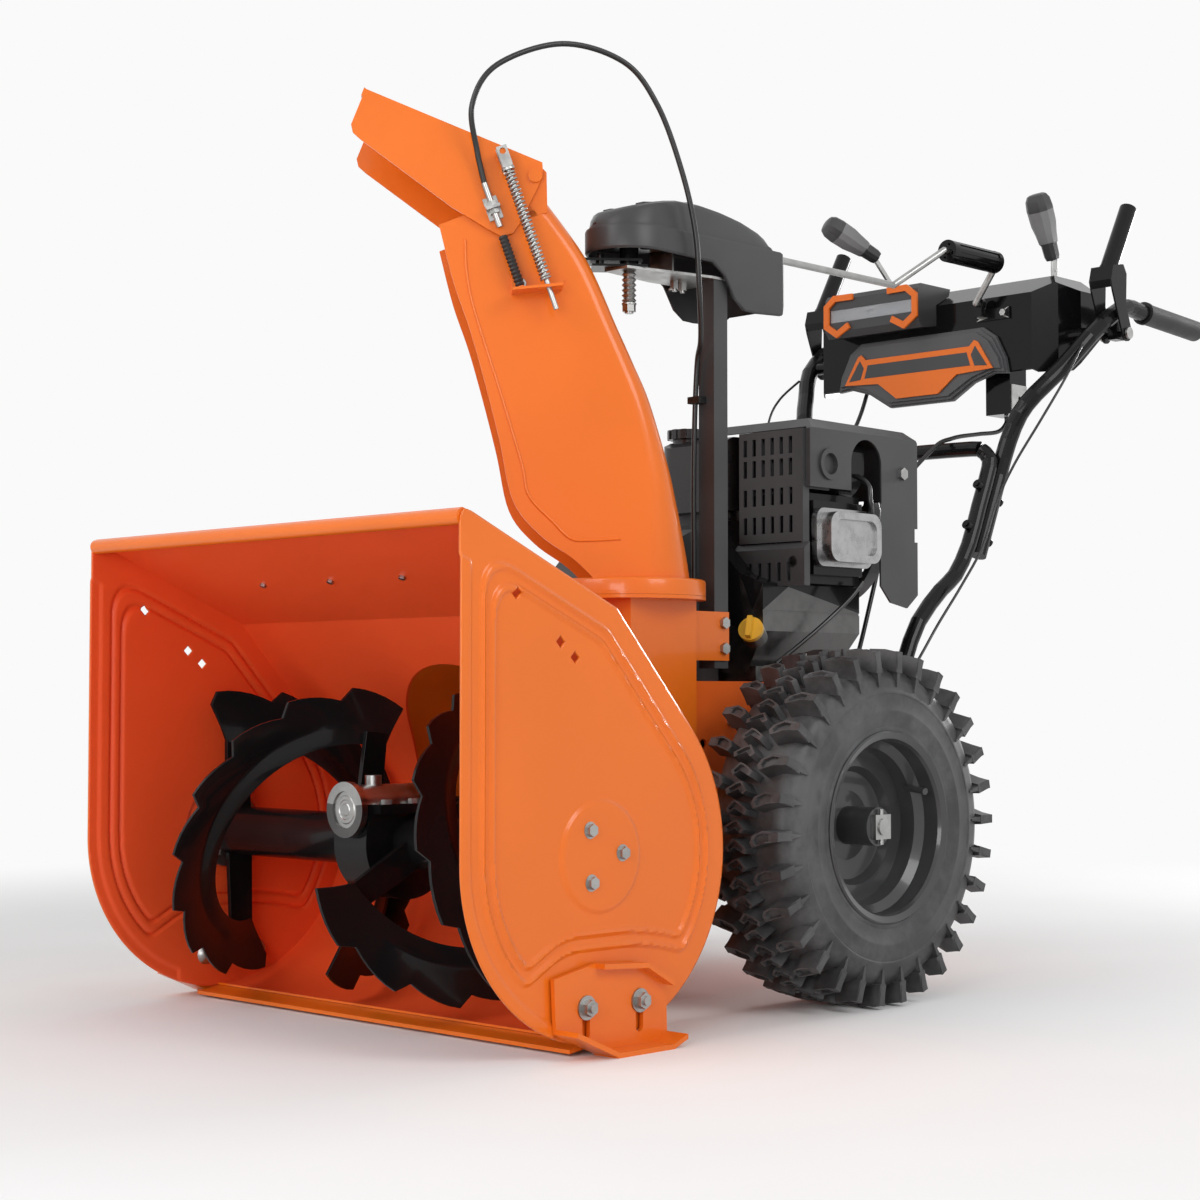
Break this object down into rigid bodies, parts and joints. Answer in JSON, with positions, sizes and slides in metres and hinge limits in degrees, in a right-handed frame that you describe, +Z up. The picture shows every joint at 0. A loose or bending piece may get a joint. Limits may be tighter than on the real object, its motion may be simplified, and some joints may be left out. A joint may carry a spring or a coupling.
{
  "type": "snow blower",
  "caption": "Two-stage walk-behind snow blower: auger housing, turning discharge chute with tilting deflector, engine on a wheeled frame, handlebar with console and clutch levers.",
  "frame": {"origin": "middle of the footprint box, on the ground that the skids and tyres stand on", "axes": "+Z up, -Y towards the auger housing's mouth, +X to the operator's left"},
  "size_m": [0.7006, 1.4858, 1.0885],
  "materials": {
    "orange_paint": "glossy powder coat",
    "black_paint": "glossy powder coat",
    "black_plastic": "fine-grained satin",
    "grey_plastic": "fine-grained satin",
    "zinc": "zinc plated",
    "bare_steel": "bare turned steel",
    "cast_alloy": "as cast, painted grey",
    "cover_steel": "satin plated",
    "gold_plastic": "satin",
    "tyre_rubber": "matt, dusty",
    "grip_rubber": "matt",
    "cord_jacket": "smooth jacket",
    "clear_lens": "clear",
    "tank_plastic": "smooth"
  },
  "bodies": {
    "chassis": {"housing_wrap": "orange_paint", "side_plate_left": "orange_paint", "side_plate_right": "orange_paint", "scraper_blade": "zinc", "skid_left": "orange_paint", "skid_right": "orange_paint", "skid_bolts": "zinc", "bearing_flanges": "zinc", "auger_gearcase": "black_paint", "impeller_drum": "orange_paint", "post_bracket": "orange_paint", "post": "black_paint", "gear_plate": "zinc", "gear_cover": "black_plastic", "tractor_frame": "orange_paint", "belt_cover": "black_plastic", "engine_block": "cast_alloy", "engine_shroud": "black_plastic", "muffler_guard": "black_plastic", "valve_cover": "cover_steel", "fuel_tank": "tank_plastic", "recoil_cover": "black_plastic", "handle_loop": "black_paint", "handles": "black_paint", "grips": "grip_rubber", "console": "black_plastic", "console_shield": "grey_plastic", "shield_trim": "orange_paint", "headlight": "black_plastic", "light_lens": "clear_lens", "crank_bracket": "black_paint", "control_cables": "cord_jacket", "deflector_cable": "cord_jacket"},
    "auger": {"auger_shaft": "bare_steel", "rake_left": "black_paint", "rake_right": "black_paint"},
    "impeller": {"impeller": "black_paint"},
    "wheel_left": {"tyre_left": "tyre_rubber", "rim_left": "black_paint", "axle_left": "zinc"},
    "wheel_right": {"tyre_right": "tyre_rubber", "rim_right": "black_paint", "axle_right": "zinc"},
    "chute": {"chute": "orange_paint", "chute_arm": "black_paint", "chute_bracket": "orange_paint"},
    "deflector": {"deflector": "orange_paint", "cable_ferrule": "zinc"},
    "spring_link": {"spring_rod": "zinc", "deflector_spring": "zinc"},
    "crank": {"crank_rod": "zinc"},
    "roller": {"crank_roller": "black_plastic"},
    "clutch_left": {"clutch_lever_left": "black_paint"},
    "clutch_right": {"clutch_lever_right": "black_paint"},
    "speed": {"speed_lever": "black_plastic"},
    "cap_control": {"cap_lever": "black_plastic"},
    "fuel_cap": {"fuel_cap": "tank_plastic"},
    "oil_cap": {"oil_cap": "gold_plastic"},
    "starter": {"starter_handle": "black_plastic"}
  },
  "joints": [
    {"name": "auger_spin", "type": "hinge", "parent": "chassis", "child": "auger", "pos_m": [0, -0.55393, 0.195], "axis": [1, 0, 0], "continuous": true},
    {"name": "impeller_spin", "type": "hinge", "parent": "chassis", "child": "impeller", "pos_m": [0, -0.30993, 0.231], "axis": [0, 1, 0], "continuous": true},
    {"name": "wheel_left_spin", "type": "hinge", "parent": "chassis", "child": "wheel_left", "pos_m": [0.274, -0.10193, 0.204], "axis": [1, 0, 0], "continuous": true},
    {"name": "wheel_right_spin", "type": "hinge", "parent": "chassis", "child": "wheel_right", "pos_m": [-0.274, -0.10193, 0.204], "axis": [1, 0, 0], "continuous": true},
    {"name": "chute_swivel", "type": "hinge", "parent": "chassis", "child": "chute", "pos_m": [0.107, -0.29393, 0.475], "axis": [0, 0, 1], "range_deg": [-59, 142], "deforming": ["deflector_cable"]},
    {"name": "crank_turn", "type": "hinge", "parent": "chassis", "child": "crank", "pos_m": [0.107, -0.03993, 0.895], "axis": [0, 1, 0], "range_deg": [-238, 570]},
    {"name": "roller_spin", "type": "hinge", "parent": "crank", "child": "roller", "pos_m": [0.14491, 0.33607, 0.94531], "axis": [0, 1, 0], "continuous": true},
    {"name": "deflector_tilt", "type": "hinge", "parent": "chute", "child": "deflector", "pos_m": [0.03279, -0.37782, 0.934], "axis": [0.749, -0.6626, 0], "range_deg": [0, 45], "deforming": ["deflector_spring", "deflector_cable"]},
    {"name": "spring_rod_swing", "type": "hinge", "parent": "deflector", "child": "spring_link", "pos_m": [0.08152, -0.47033, 0.955], "axis": [0.749, -0.6626, 0], "range_deg": [-40, 1]},
    {"name": "clutch_left_squeeze", "type": "hinge", "parent": "chassis", "child": "clutch_left", "pos_m": [0.25, 0.52807, 0.85], "axis": [-1, 0, 0], "range_deg": [0, 54], "stiffness_Nm_per_rad": 3, "springref_deg": -14.32},
    {"name": "clutch_right_squeeze", "type": "hinge", "parent": "chassis", "child": "clutch_right", "pos_m": [-0.25, 0.52807, 0.85], "axis": [-1, 0, 0], "range_deg": [0, 54], "stiffness_Nm_per_rad": 3, "springref_deg": -14.32},
    {"name": "speed_lever_shift", "type": "hinge", "parent": "chassis", "child": "speed", "pos_m": [0.155, 0.52007, 0.9], "axis": [1, 0, 0], "range_deg": [-22, 18]},
    {"name": "cap_lever_swing", "type": "hinge", "parent": "chassis", "child": "cap_control", "pos_m": [-0.112, 0.51307, 0.9], "axis": [1, 0, 0], "range_deg": [-28, 1]},
    {"name": "fuel_cap_twist", "type": "hinge", "parent": "chassis", "child": "fuel_cap", "pos_m": [-0.036, -0.03393, 0.68], "axis": [0, 0, 1], "range_deg": [0, 120]},
    {"name": "oil_cap_twist", "type": "hinge", "parent": "chassis", "child": "oil_cap", "pos_m": [0.155, -0.13393, 0.43], "axis": [0.3716, -0.8346, 0.4067], "range_deg": [0, 360]},
    {"name": "starter_pull", "type": "slide", "parent": "chassis", "child": "starter", "axis": [0, 1, 0], "range_m": [0, 0.055], "stiffness_N_per_m": 60, "springref_m": -0.1}
  ],
  "couplings": [
    {"joint": "impeller_spin", "follows": "auger_spin", "ratio": 10},
    {"joint": "crank_turn", "follows": "chute_swivel", "ratio": 4},
    {"joint": "spring_rod_swing", "follows": "deflector_tilt", "ratio": -0.854},
    {"joint": "cap_lever_swing", "follows": "deflector_tilt", "ratio": -0.6}
  ]
}
